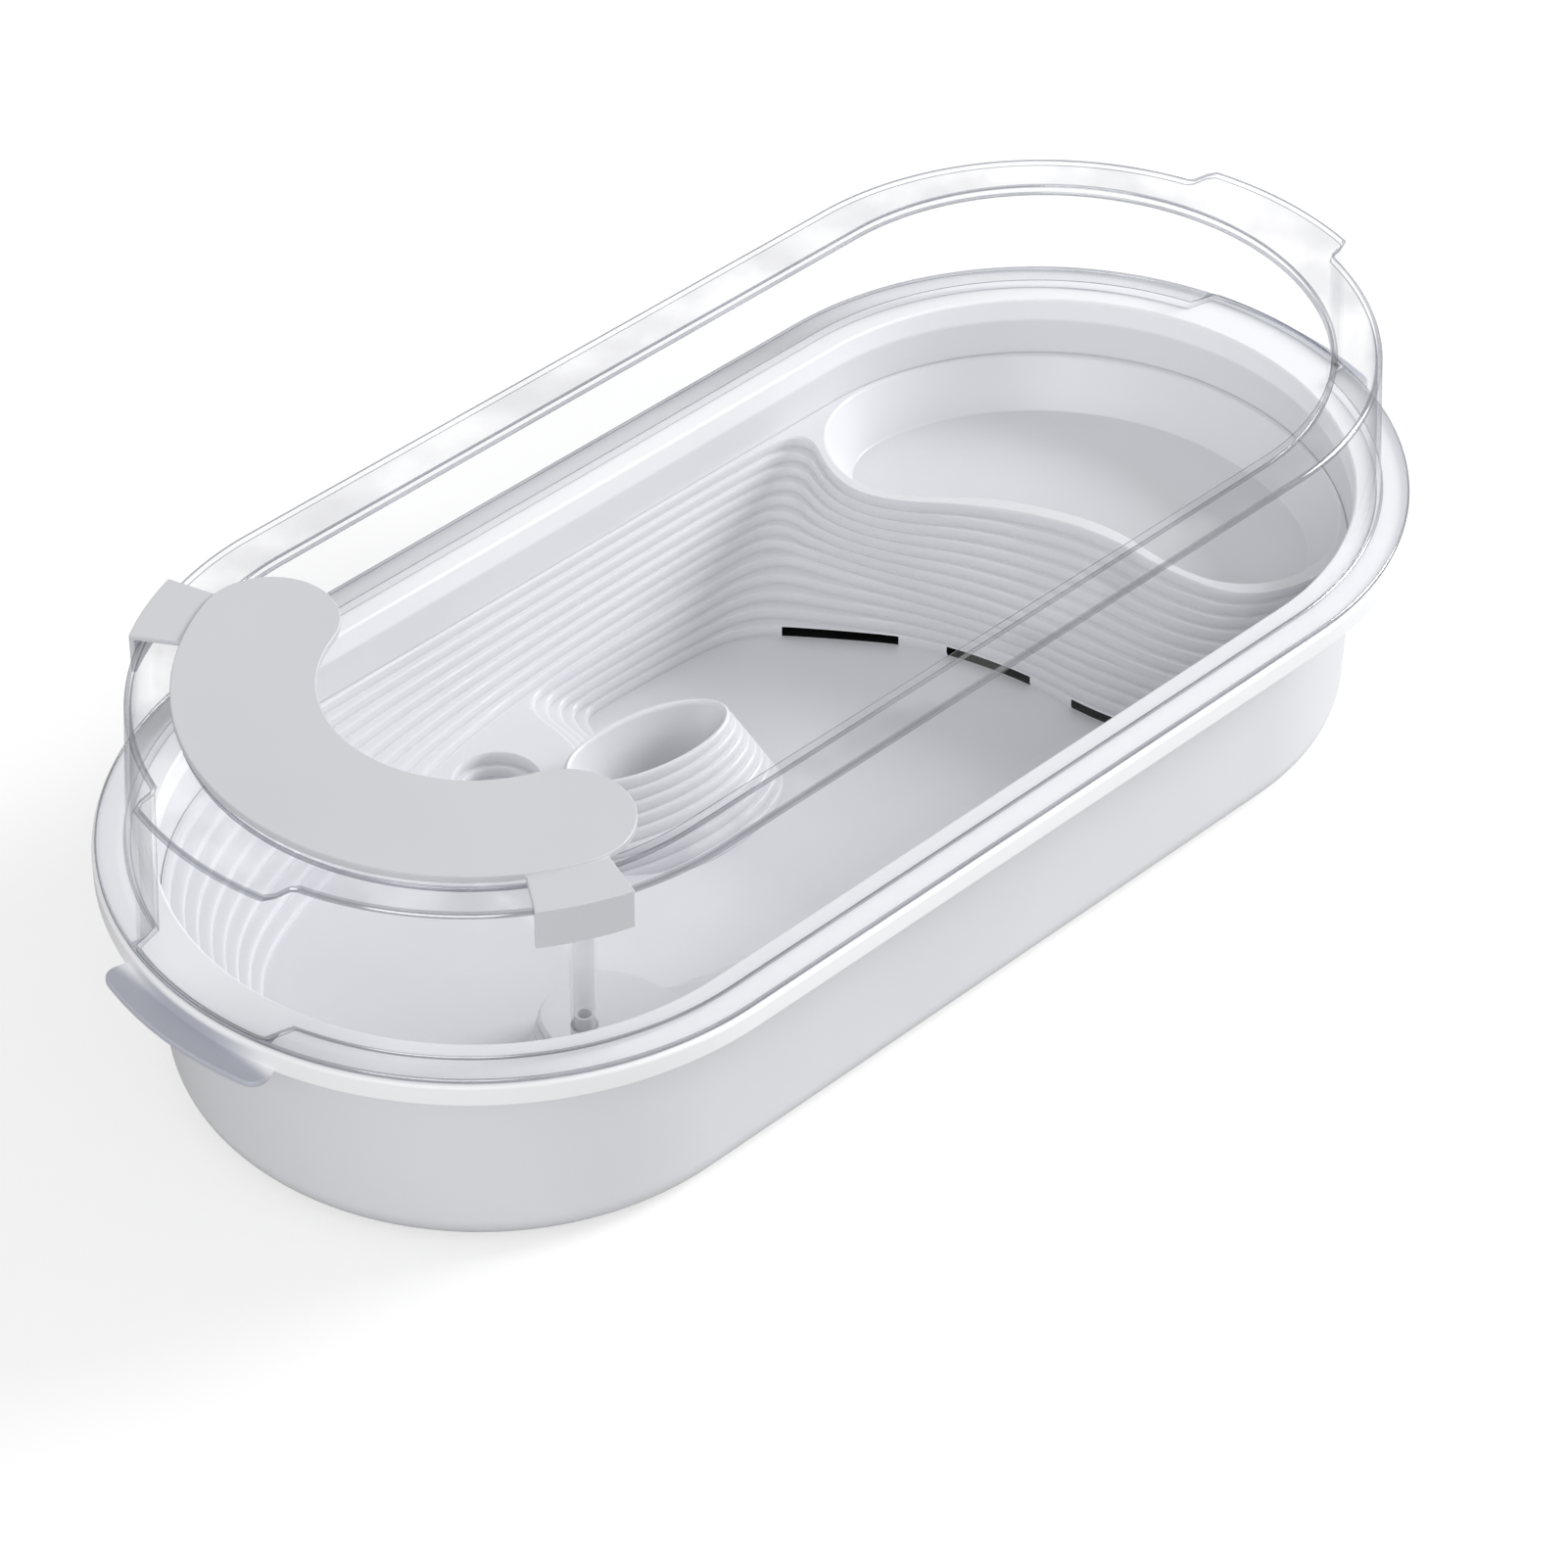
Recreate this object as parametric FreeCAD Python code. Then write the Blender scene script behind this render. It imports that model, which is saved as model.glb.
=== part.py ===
"""Turtle tank: a drafted oval tub, a terraced terrain insert standing in it, a clear guard on
the rim, a shade cover clipped to the guard, and an overflow standpipe with its clear riser.

Millimetres, +Z up. The origin is the middle of the tub's underside, +X the end with the tray.
"""
import FreeCAD
import Part
import math
import os

Vector = FreeCAD.Vector

# Plan of the tank: every level is a straight middle with a round end at each side.
half_straight = 145.0
fit = 0.3

# Tub: the rim stands out from the wall's top by its overhang.
tub_height = 95.0
tub_wall = 2.8
tub_half_width_at_foot = 114.7
draft = 0.028
foot_radius = 14.0
foot_facets = 3
foot_chamfer = 7.5
rim_overhang = 18.84
rim_thickness = 2.6
lip_height = 9.0
lip_thickness = 2.4
rim_half_width = tub_half_width_at_foot + draft * tub_height + rim_overhang

# Handle tabs at both ends of the rim
tab_half_width = 41.0
tab_reach = 9.8
tab_thickness = 2.6
tab_corner = 6.0

# Terrain insert
step_count = 13
plateau_step = 5
shelf_step = 9
step_height = 5.0
floor_thickness = 2.6
terrain_wall = 2.4
least_edge = 0.5
bend_share = 0.48
slight_turn = 17.0
sharp_turn = 48.0
hollow_steps = (4, shelf_step)
floor_height = tub_wall + floor_thickness
terrain_top = floor_height + step_count * step_height

# Standpipe and riser
pipe_centre = (-166.0, -73.0)
pipe_diameter = 10.0
pipe_bore = 5.0
pipe_above_shelf = 10.0
riser_diameter = 9.6
riser_bore = 7.6
riser_length = 55.0
spigot_length = 5.0

# Guard: it stands on the rim, each part set in from the one outside it.
guard_height = 62.0
guard_wall = 1.8
guard_setback = 1.2
guard_foot_flange = 10.8
guard_lean = 3.5
guard_top_flange = 18.7
guard_lip_drop = 5.0
bulge_depth = 9.8
bulge_half_width = 34.0
guard_flange_half_width = rim_half_width - guard_setback
guard_half_width_at_foot = guard_flange_half_width - guard_foot_flange
guard_half_width_at_top = guard_half_width_at_foot - guard_lean
guard_opening_half_width = guard_half_width_at_top - guard_top_flange

# Shade cover: it overlaps the edge of the guard's opening.
cover_overlap = 3.0
cover_width = 50.0
cover_thickness = 3.0
cover_half_angle = 68.0
clip_half_angle = 8.0
clip_angle = 64.0
clip_thickness = 2.0
clip_drop = 14.0
cover_outer_radius = guard_opening_half_width + cover_overlap
cover_inner_radius = cover_outer_radius - cover_width

# Corners of the pool's outline at the floor and at the plateau, in matching order.
pool_floor = [
    (75, 92), (97, 66), (119, 37), (131, -5), (131, -34), (140, -68), (132, -86), (105, -92),
    (50, -88), (0, -70), (-45, -51), (-85, -35), (-110, -26), (-116, -4), (-90, 14), (-45, 30),
    (-14, 64), (-10, 97), (10, 97.5), (48, 96),
]
pool_edge = [
    (97, 101), (105, 74), (119.5, 38), (133, -3), (136, -32), (146, -72), (147, -95.5),
    (115, -101.5), (50, -99), (0, -91), (-50, -76), (-92, -61), (-118, -50), (-122, -8),
    (-95, 18), (-55, 42), (-36.5, 66), (-36, 99.5), (-10, 100.5), (45, 100),
]

# Corners of the upper banks' outline at the plateau and at the top, in matching order.
bank_foot = [
    (99, 102), (103, 85), (113, 56), (128.5, 18), (137, -25), (139.5, -48), (144.5, -68),
    (150.5, -84), (146, -97), (115, -103), (50, -102), (0, -94), (-90, -66), (-165, -80),
    (-198, -78), (-222, -54), (-233, -20), (-230, 18), (-213, 46), (-188, 62), (-140, 76),
    (-81, 94), (-26, 102), (75, 104),
]
bank_top = [
    (125, 109), (108, 79), (112, 55), (138, 26), (156, -14), (156, -52), (163, -79), (182, -91),
    (206, -93), (170, -109), (60, -112), (0, -112), (-90, -112), (-165, -109), (-208, -92),
    (-238, -62), (-255, -22), (-255, 18), (-242, 56), (-217, 86), (-175, 108), (-120, 112),
    (-20, 112), (90, 112),
]

# All plan positions in the terrain stretch with the insert: the banks' top outline ends short of
# the insert's foot at both ends, and is wider than the foot at the sides.
insert_half_width = tub_half_width_at_foot - tub_wall - fit
bank_end_margin = 1.6
bank_side_spread = 0.4
bank_reach = max(abs(x) for x, _ in bank_top)
bank_half_width = max(abs(y) for _, y in bank_top)
stretch_along = (half_straight + insert_half_width - bank_end_margin) / bank_reach
stretch_across = (insert_half_width + bank_side_spread) / bank_half_width

# Tray: corners of its mouth, its wall sloping inwards to the floor.
tray_depth = 19.4
tray_wall_run = 10.0
tray_mouth = [
    (116, 58), (113, 78), (124, 100), (146, 112), (174, 109), (203, 97), (228, 76), (246, 49),
    (256, 18), (256, -16), (248, -47), (236, -68), (212, -86), (185, -86), (166, -72), (160, -48),
    (163, -14), (146, 25), (129, 43),
]

# Shelf that carries the standpipe: corners of its top, its steps widening downwards.
shelf_top = [
    (-170, -52), (-160, -44), (-138, -44), (-127, -56), (-124, -82), (-118, -116), (-182, -116),
    (-176, -82),
]
shelf_tread = 1.2

# Crater mound beside the pool
mound_centre = (-35.0, 32.0)
mound_turn = -8.0
mound_top_axes = (36.0, 16.5)
mound_treads = (2.9, 1.4)
mound_corners = 16
crater_rim = 2.0
crater_floor_share = 0.58
crater_floor_height = 21.0

# Round pit in the plateau
pit_centre = (-74.0, 72.0)
pit_radius = 16.0
pit_tread = 2.2
pit_steps = 4

# Slope from the plateau down to the pool floor
slope_top_x = -118.0
slope_foot_x = -32.0
slope_y = (-70.0, 35.0)

# Slots at the foot of the tray bank, each from one end to the other.
slots = [((84, 81), (114, 47)), ((128, 29), (133, -7)), ((131, -28), (139, -50))]
slot_height = 4.4
slot_depth = 18.0

half_turn = 180.0


def level(step):
    """Height of a terrace, counted in steps from the pool floor."""
    return floor_height + step * step_height


def place(point):
    """Position in the plan, moved with the insert's length and width."""
    return point[0] * stretch_along, point[1] * stretch_across


def fitted(corners):
    """Corners of an outline, each moved with the insert's length and width."""
    return [place(corner) for corner in corners]


def blend(first, second, share):
    """Corners a share of the way from one outline to the other."""
    return [
        (a[0] + (b[0] - a[0]) * share, a[1] + (b[1] - a[1]) * share)
        for a, b in zip(first, second)
    ]


def corner_bend(before, corner, after):
    """Start, end and edges of an outline at a corner: plain, cut off or rounded by its turn."""
    back = before - corner
    ahead = after - corner
    half_angle = back.getAngle(ahead) / 2
    turn = half_turn - 2 * math.degrees(half_angle)
    if turn < slight_turn:
        return corner, corner, []
    reach = bend_share * min(back.Length, ahead.Length)
    start = corner + back.normalize() * reach
    end = corner + ahead.normalize() * reach
    if turn < sharp_turn:
        return start, end, [Part.makeLine(start, end)]
    radius = reach * math.tan(half_angle)
    inward = (back + ahead).normalize()
    middle = corner + inward * (radius / math.sin(half_angle) - radius)
    return start, end, [Part.Arc(start, middle, end).toShape()]


def outline(corners, height):
    """Closed wire through the corners, softened where it turns."""
    points = [Vector(x, y, height) for x, y in corners]
    following = points[1:] + points[:1]
    bends = [
        corner_bend(points[index - 1], corner, following[index])
        for index, corner in enumerate(points)
    ]
    edges = []
    for (_, end, bend), (start, _, _) in zip(bends, bends[1:] + bends[:1]):
        edges += bend
        edges.append(Part.makeLine(end, start))
    return Part.Wire(edges)


def polygon(corners, height):
    """Closed wire with a straight side between every two corners."""
    points = [Vector(x, y, height) for x, y in corners]
    return Part.makePolygon(points + points[:1])


def prism(corners, bottom, top, wire=outline):
    """Solid between two heights with the corners' outline."""
    return Part.Face(wire(corners, bottom)).extrude(Vector(0, 0, top - bottom))


def grow(corners, distance):
    """Corners of the outline moved outwards by a distance, inwards if it is negative."""
    area = sum(
        a[0] * b[1] - b[0] * a[1] for a, b in zip(corners, corners[1:] + corners[:1])
    )
    outwards = distance if area > 0 else -distance
    grown = []
    for index, corner in enumerate(corners):
        before = Vector(*corners[index - 1], 0)
        here = Vector(*corner, 0)
        after = Vector(*corners[(index + 1) % len(corners)], 0)
        first = (here - before).normalize()
        second = (after - here).normalize()
        normal = Vector(first.y + second.y, -first.x - second.x, 0).normalize()
        share = normal.dot(Vector(first.y, -first.x, 0))
        moved = here + normal * (outwards / share)
        grown.append((moved.x, moved.y))
    return grown


def oval_body(profile):
    """Solid with a closed profile of (half width, height) points run round the plan."""
    def section(sign):
        points = [Vector(0, sign * width, height) for width, height in profile]
        return Part.Face(Part.makePolygon(points + points[:1]))

    side = section(1).extrude(Vector(2 * half_straight, 0, 0))
    other = section(-1).extrude(Vector(2 * half_straight, 0, 0))
    end = section(-1).revolve(Vector(), Vector(0, 0, 1), half_turn)
    far_end = section(1).revolve(Vector(), Vector(0, 0, 1), half_turn)
    side.translate(Vector(-half_straight, 0, 0))
    other.translate(Vector(-half_straight, 0, 0))
    end.translate(Vector(half_straight, 0, 0))
    far_end.translate(Vector(-half_straight, 0, 0))
    return side.multiFuse([other, end, far_end]).removeSplitter()


def tub_half_width(height):
    """Half width of the tub's outer wall at a height."""
    return tub_half_width_at_foot + draft * height


def tub_form(inset, base, top, foot, facets):
    """Solid of the tub's form, its wall moved inwards, its foot rounded in a few facets."""
    wall_foot = tub_half_width(base + foot) - inset
    profile = [(0, base)]
    for index in range(facets + 1):
        angle = math.radians(half_turn / 2 * index / facets)
        profile.append((wall_foot - foot + foot * math.sin(angle), base + foot - foot * math.cos(angle)))
    return oval_body(profile + [(tub_half_width(top) - inset, top), (0, top)])


def slab(shape, bottom, top):
    """Part of a shape between two heights."""
    reach = half_straight + rim_half_width + tab_reach
    block = Part.makeBox(2 * reach, 2 * reach, top - bottom, Vector(-reach, -reach, bottom))
    return shape.common(block)


def make_tabs():
    """Handle tabs that stand out from the lip at both ends."""
    outer = rim_half_width + tab_reach
    inner = rim_half_width - lip_thickness
    bottom = tub_height - lip_height - tab_thickness / 2
    ring = oval_body([
        (inner, bottom), (outer, bottom), (outer, bottom + tab_thickness),
        (inner, bottom + tab_thickness),
    ])
    length = half_straight + outer
    width = 2 * tab_half_width
    box = Part.makeBox(2 * length, width, tab_thickness, Vector(-length, -tab_half_width, bottom))
    tabs = ring.common(box)
    corners = [
        edge for edge in tabs.Edges
        if abs(edge.BoundBox.ZLength - tab_thickness) < fit
        and abs(edge.BoundBox.XMin) > half_straight + rim_half_width
        and abs(abs(edge.BoundBox.YMin) - tab_half_width) < fit
    ]
    return tabs.makeFillet(tab_corner, corners)


def make_tub():
    """Drafted tub with a rounded foot, a flat rim with a lip turned down, and the tabs."""
    outer = tub_form(0, 0, tub_height, foot_radius, foot_facets)
    under_rim = tub_height - rim_thickness
    wall = tub_half_width(under_rim) - tub_wall / 2
    lip_foot = tub_height - lip_height
    lip_inside = rim_half_width - lip_thickness
    rim = oval_body([
        (wall, under_rim), (lip_inside, under_rim), (lip_inside, lip_foot),
        (rim_half_width, lip_foot), (rim_half_width, tub_height), (wall, tub_height),
    ])
    hollow = tub_form(tub_wall, tub_wall, tub_height, foot_chamfer, 1)
    drain = Part.makeCylinder(pipe_bore / 2, tub_wall, Vector(*place(pipe_centre), 0))
    body = outer.cut([hollow, drain])
    return body.multiFuse([rim, make_tabs()]).removeSplitter()


def pool_outline(step):
    """Corners of the pool wall that rises from a step below the plateau."""
    return fitted(blend(pool_floor, pool_edge, step / (plateau_step - 1)))


def bank_outline(step):
    """Corners of the bank that rises from a step above the plateau."""
    last = step_count - 1
    return fitted(blend(bank_foot, bank_top, (step - plateau_step) / (last - plateau_step)))


def terrace_outline(step):
    """Corners of the open space above a step."""
    if step < plateau_step:
        return pool_outline(step)
    return bank_outline(step)


def make_open_space():
    """Space above the terraces: one prism for each step."""
    prisms = [
        prism(terrace_outline(step), level(step), level(step + 1)) for step in range(step_count)
    ]
    return prisms[0].multiFuse(prisms[1:])


def make_tray_space():
    """Space of the tray, its sides sloping from the mouth to the floor."""
    mouth = fitted(tray_mouth)
    floor_wire = polygon(grow(mouth, -tray_wall_run), terrain_top - tray_depth)
    return Part.makeLoft([floor_wire, polygon(mouth, terrain_top)], True, True)


def make_shelf():
    """Stepped shelf on the near bank that carries the standpipe."""
    top = fitted(shelf_top)
    prisms = [
        prism(grow(top, shelf_tread * (shelf_step - 1 - step)), level(step), level(step + 1))
        for step in range(shelf_step)
    ]
    return prisms[0].multiFuse(prisms[1:])


def mound_outline(axes):
    """Corners of an ellipse round the mound's centre, turned with the mound."""
    turn = math.radians(mound_turn)
    x, y = place(mound_centre)
    corners = []
    for index in range(mound_corners):
        angle = 2 * math.pi * index / mound_corners
        along = axes[0] * math.cos(angle)
        across = axes[1] * math.sin(angle)
        corners.append((
            x + along * math.cos(turn) - across * math.sin(turn),
            y + along * math.sin(turn) + across * math.cos(turn),
        ))
    return corners


def make_mound():
    """Stepped oval mound that the crater is cut into."""
    prisms = []
    for step in range(shelf_step):
        down = shelf_step - 1 - step
        axes = [top + tread * down for top, tread in zip(mound_top_axes, mound_treads)]
        prisms.append(prism(mound_outline(axes), level(step), level(step + 1)))
    return prisms[0].multiFuse(prisms[1:])


def make_crater():
    """Oval hollow in the mound."""
    mouth = [axis - crater_rim for axis in mound_top_axes]
    floor = [axis * crater_floor_share for axis in mouth]
    return Part.makeLoft([
        polygon(mound_outline(floor), crater_floor_height),
        polygon(mound_outline(mouth), level(shelf_step)),
    ], True, True)


def make_pit():
    """Round pit with steps, sunk in the plateau."""
    rings = []
    for down in range(pit_steps):
        base = Vector(*place(pit_centre), level(plateau_step - 1 - down))
        rings.append(Part.makeCylinder(pit_radius - pit_tread * down, step_height, base))
    return rings[0].multiFuse(rings[1:])


def make_slope():
    """Smooth slope from the plateau to the pool floor."""
    top_x, near = place((slope_top_x, slope_y[0]))
    foot_x, far = place((slope_foot_x, slope_y[1]))
    corners = [
        Vector(top_x, near, floor_height), Vector(foot_x, near, floor_height),
        Vector(top_x, near, level(plateau_step)),
    ]
    face = Part.Face(Part.makePolygon(corners + corners[:1]))
    return face.extrude(Vector(0, far - near, 0))


def make_slots():
    """Openings at the foot of the tray bank into the space below the tray."""
    cutters = []
    for start, end in slots:
        first = Vector(*place(start), floor_height)
        along = Vector(*place(end), floor_height) - first
        box = Part.makeBox(along.Length, slot_depth, slot_height, Vector(0, -slot_depth / 2, 0))
        box.rotate(Vector(), Vector(0, 0, 1), math.degrees(math.atan2(along.y, along.x)))
        box.translate(first)
        cutters.append(box)
    return cutters


def make_hollow():
    """Space under the terrain, in broad layers that follow the terraces, and under the shelf."""
    top = level(shelf_step) - floor_thickness
    width = tub_half_width(tub_wall) - tub_wall - fit - terrain_wall
    form = oval_body([(0, tub_wall), (width, tub_wall), (width, top), (0, top)])
    layers = []
    bottom = tub_wall
    for top_step in hollow_steps:
        ceiling = level(top_step) - floor_thickness
        kept = prism(grow(terrace_outline(top_step - 1), terrain_wall), bottom, ceiling, polygon)
        layers.append(slab(form, bottom, ceiling).cut(kept))
        bottom = ceiling
    shelf = prism(grow(fitted(shelf_top), -terrain_wall), tub_wall, top)
    space = layers[0].multiFuse(layers[1:] + [shelf.common(form)])
    pit_base = Vector(*place(pit_centre), 0)
    return space.cut(Part.makeCylinder(pit_radius + terrain_wall, terrain_top, pit_base))


def make_terrain():
    """Terrain insert: terraces round the pool, tray, shelf, crater mound, pit and slope."""
    inset = fit + tub_wall
    foot = foot_chamfer + 2 * fit
    block = tub_form(inset, tub_wall, terrain_top, foot, 1)
    limit = tub_form(inset + least_edge, tub_wall, terrain_top, foot, 1)
    ground = block.cut([make_open_space().common(limit), make_tray_space().common(limit)])
    raised = make_shelf().multiFuse([make_mound(), make_slope()])
    ground = ground.fuse(raised.common(block))
    pipe_base = Vector(*place(pipe_centre), 0)
    pipe_hole = Part.makeCylinder(pipe_diameter / 2 + fit, terrain_top, pipe_base)
    cutters = [make_crater(), make_pit(), pipe_hole, make_hollow()] + make_slots()
    return ground.cut(cutters).removeSplitter()


def pipe_top():
    """Height of the standpipe's shoulder."""
    return level(shelf_step) + pipe_above_shelf


def make_standpipe():
    """Pipe from the drain up through the shelf, with a spigot for the riser."""
    base = Vector(*place(pipe_centre), tub_wall)
    length = pipe_top() - tub_wall
    pipe = Part.makeCylinder(pipe_diameter / 2, length, base)
    spigot = Part.makeCylinder(riser_bore / 2 - fit, length + spigot_length, base)
    bore = Part.makeCylinder(pipe_bore / 2, length + spigot_length, base)
    return pipe.fuse(spigot).cut(bore)


def make_riser():
    """Clear tube that stands on the standpipe's shoulder, round its spigot."""
    base = Vector(*place(pipe_centre), pipe_top())
    tube = Part.makeCylinder(riser_diameter / 2, riser_length, base)
    return tube.cut(Part.makeCylinder(riser_bore / 2, riser_length, base))


def guard_shell(inset, bulge):
    """Filled form of the guard's wall, moved inwards, as wide again as the bulge."""
    foot = guard_half_width_at_foot + bulge - inset
    top = guard_half_width_at_top + bulge - inset
    high = tub_height + guard_height
    return oval_body([(0, tub_height), (foot, tub_height), (top, high), (0, high)])


def guard_form(inset):
    """Filled form of the guard with a bulge at each end."""
    length = half_straight + guard_flange_half_width
    half = bulge_half_width - inset
    box = Part.makeBox(
        2 * length, 2 * half, guard_height, Vector(-length, -half, tub_height)
    )
    return guard_shell(inset, 0).fuse(guard_shell(inset, bulge_depth).common(box))


def make_guard():
    """Clear guard: foot flange on the rim, wall with end bulges, top flange round the opening."""
    top = tub_height + guard_height
    under_top = top - guard_wall
    foot_inside = guard_half_width_at_foot - guard_wall
    inside = slab(guard_form(guard_wall), tub_height, under_top)
    opening = guard_opening_half_width
    mouth = oval_body([
        (0, under_top), (opening, under_top), (opening, top), (0, top),
    ])
    flange = oval_body([
        (foot_inside, tub_height), (guard_flange_half_width, tub_height),
        (guard_flange_half_width, tub_height + guard_wall), (foot_inside, tub_height + guard_wall),
    ])
    lip = oval_body([
        (opening, top - guard_lip_drop), (opening + guard_wall, top - guard_lip_drop),
        (opening + guard_wall, top), (opening, top),
    ])
    wall = guard_form(0).cut([inside, mouth])
    return wall.multiFuse([flange.cut(inside), lip]).removeSplitter()


def ring_sector(inner, outer, half_angle, turn, bottom, top):
    """Part of a ring about the end's centre, a half angle each side of a turn."""
    centre = Vector(-half_straight, 0, bottom)
    height = top - bottom
    angle = 2 * half_angle
    solid = Part.makeCylinder(outer, height, centre, Vector(0, 0, 1), angle)
    solid = solid.cut(Part.makeCylinder(inner, height, centre))
    solid.rotate(centre, Vector(0, 0, 1), turn - half_angle)
    return solid


def make_cover():
    """Half-ring plate over the guard's opening, with two clips over the guard's edge."""
    bottom = tub_height + guard_height
    top = bottom + cover_thickness
    middle = (cover_outer_radius + cover_inner_radius) / 2
    end_radius = (cover_outer_radius - cover_inner_radius) / 2
    parts = [ring_sector(
        cover_inner_radius, cover_outer_radius, cover_half_angle, half_turn, bottom, top
    )]
    slope = (guard_half_width_at_foot - guard_half_width_at_top) / guard_height
    clip_inside = guard_half_width_at_top + slope * clip_drop + fit
    for side in (-1, 1):
        angle = math.radians(half_turn + side * cover_half_angle)
        end = Vector(-half_straight + middle * math.cos(angle), middle * math.sin(angle), bottom)
        parts.append(Part.makeCylinder(end_radius, cover_thickness, end))
        turn = half_turn + side * clip_angle
        outside = clip_inside + clip_thickness
        parts.append(ring_sector(
            cover_outer_radius - cover_thickness, outside, clip_half_angle, turn,
            bottom, bottom + clip_thickness,
        ))
        parts.append(ring_sector(
            clip_inside, outside, clip_half_angle, turn, bottom - clip_drop, bottom
        ))
    return parts[0].multiFuse(parts[1:]).removeSplitter()


def save(name, shape):
    """Write one piece as a STEP file."""
    if not shape.isValid() or len(shape.Solids) != 1:
        raise ValueError(f"{name}: {len(shape.Solids)} solids, valid {shape.isValid()}")
    shape.Solids[0].exportStep(os.path.join("parts", f"{name}.step"))


def main():
    """Build every piece in its place."""
    os.makedirs("parts", exist_ok=True)
    save("tub", make_tub())
    save("terrain", make_terrain())
    save("standpipe", make_standpipe())
    save("riser_tube", make_riser())
    save("clear_guard", make_guard())
    save("shade_cover", make_cover())


main()
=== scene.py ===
"""Turtle tank: tub with a terraced terrain insert, standpipe, clear guard and shade cover.

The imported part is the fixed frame. The tub, the terrain, the guard and the cover are replaced by
finer pieces in the same place, and the two pipes keep their packed form with a new material.
Sizes are in millimetres in the lists and settings below and become metres on the way in.
"""
import math

import bmesh
import bpy
from bpy.props import (
    FloatProperty,
    FloatVectorProperty,
    IntProperty,
    PointerProperty,
)
from bpy.types import PropertyGroup
from mathutils import Matrix, Vector


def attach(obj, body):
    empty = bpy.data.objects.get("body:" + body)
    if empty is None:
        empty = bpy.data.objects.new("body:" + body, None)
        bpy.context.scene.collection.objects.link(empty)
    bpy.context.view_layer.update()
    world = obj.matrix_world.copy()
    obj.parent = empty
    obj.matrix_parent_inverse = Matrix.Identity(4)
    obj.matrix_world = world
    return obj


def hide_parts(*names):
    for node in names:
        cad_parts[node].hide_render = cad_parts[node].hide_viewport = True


bl_info = {
    "name": "Turtle tank",
    "version": (1, 0, 0),
    "blender": (4, 5, 0),
    "location": "3D View > Sidebar > Turtle tank",
    "description": "Builds the visible pieces of an oval turtle tank on its packed frame",
    "category": "Object",
}

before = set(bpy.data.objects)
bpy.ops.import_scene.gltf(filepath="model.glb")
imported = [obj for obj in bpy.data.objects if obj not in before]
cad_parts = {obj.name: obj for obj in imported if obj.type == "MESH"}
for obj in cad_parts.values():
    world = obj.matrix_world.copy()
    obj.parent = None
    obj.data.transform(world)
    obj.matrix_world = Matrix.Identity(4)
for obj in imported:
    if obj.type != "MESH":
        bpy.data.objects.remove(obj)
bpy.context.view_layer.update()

MM = 0.001
PLASTIC_IOR = 1.49
UP = Vector((0, 0, 1))
# Rings are joined while this far apart, and then moved to their own heights.
RING_SPACING = 50.0
# Terraces from the pool floor to the plateau, and from there to the top of the banks.
POOL_STEPS = 5
BANK_STEPS = 8
# Steps of the shelf and the mound, steps below the pit's floor, and steps of the pit.
RAISED_STEPS = 9
PIT_FOOT_STEPS = 1
PIT_STEPS = 4
# Small lifts that keep the faces of joined forms from lying in one plane.
SHELF_LIFT = 0.04
SLOPE_LIFT = 0.05
MOUND_LIFT = 0.07
SLOT_LIFT = 0.1
# Centres, half axes and turn of the mound, its crater and the pit.
MOUND_CENTRE = (-35, 32)
MOUND_TURN = -8.0
MOUND_AXES = (36.0, 16.5)
MOUND_TREADS = (2.9, 1.4)
CRATER_AXES = (34.0, 14.5)
PIT_CENTRE = (-74, 72)
# Slope to the pool floor: where it starts under the plateau, leaves it, levels out and ends.
SLOPE_ALONG = (-126, -118, -34, -18)
SLOPE_ACROSS = (-70, 35)

# Corners of the pool at its floor and at the plateau, in matching order.
POOL_FLOOR = [
    (75, 92), (97, 66), (119, 37), (131, -5), (131, -34), (140, -68), (132, -86), (105, -92),
    (50, -88), (0, -70), (-45, -51), (-85, -35), (-110, -26), (-116, -4), (-90, 14), (-45, 30),
    (-14, 64), (-10, 97), (10, 97.5), (48, 96),
]
POOL_EDGE = [
    (97, 101), (105, 74), (119.5, 38), (133, -3), (136, -32), (146, -72), (147, -95.5),
    (115, -101.5), (50, -99), (0, -91), (-50, -76), (-92, -61), (-118, -50), (-122, -8),
    (-95, 18), (-55, 42), (-36.5, 66), (-36, 99.5), (-10, 100.5), (45, 100),
]
# Corners of the upper banks at the plateau and at the top, in matching order.
BANK_FOOT = [
    (99, 102), (103, 85), (113, 56), (128.5, 18), (137, -25), (139.5, -48), (144.5, -68),
    (150.5, -84), (146, -97), (115, -103), (50, -102), (0, -94), (-90, -66), (-165, -80),
    (-198, -78), (-222, -54), (-233, -20), (-230, 18), (-213, 46), (-188, 62), (-140, 76),
    (-81, 94), (-26, 102), (75, 104),
]
BANK_TOP = [
    (125, 109), (108, 79), (112, 55), (138, 26), (156, -14), (156, -52), (163, -79), (182, -91),
    (206, -93), (170, -109), (60, -112), (0, -112), (-90, -112), (-165, -109), (-208, -92),
    (-238, -62), (-255, -22), (-255, 18), (-242, 56), (-217, 86), (-175, 108), (-120, 112),
    (-20, 112), (90, 112),
]
# Corners of the tray's mouth and of the standpipe shelf's top.
TRAY_MOUTH = [
    (116, 58), (113, 78), (124, 100), (146, 112), (174, 109), (203, 97), (228, 76), (246, 49),
    (256, 18), (256, -16), (248, -47), (236, -68), (212, -86), (185, -86), (166, -72), (160, -48),
    (163, -14), (146, 25), (129, 43),
]
SHELF_TOP = [
    (-170, -52), (-160, -44), (-138, -44), (-127, -56), (-124, -82), (-118, -116), (-182, -116),
    (-176, -82),
]
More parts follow.
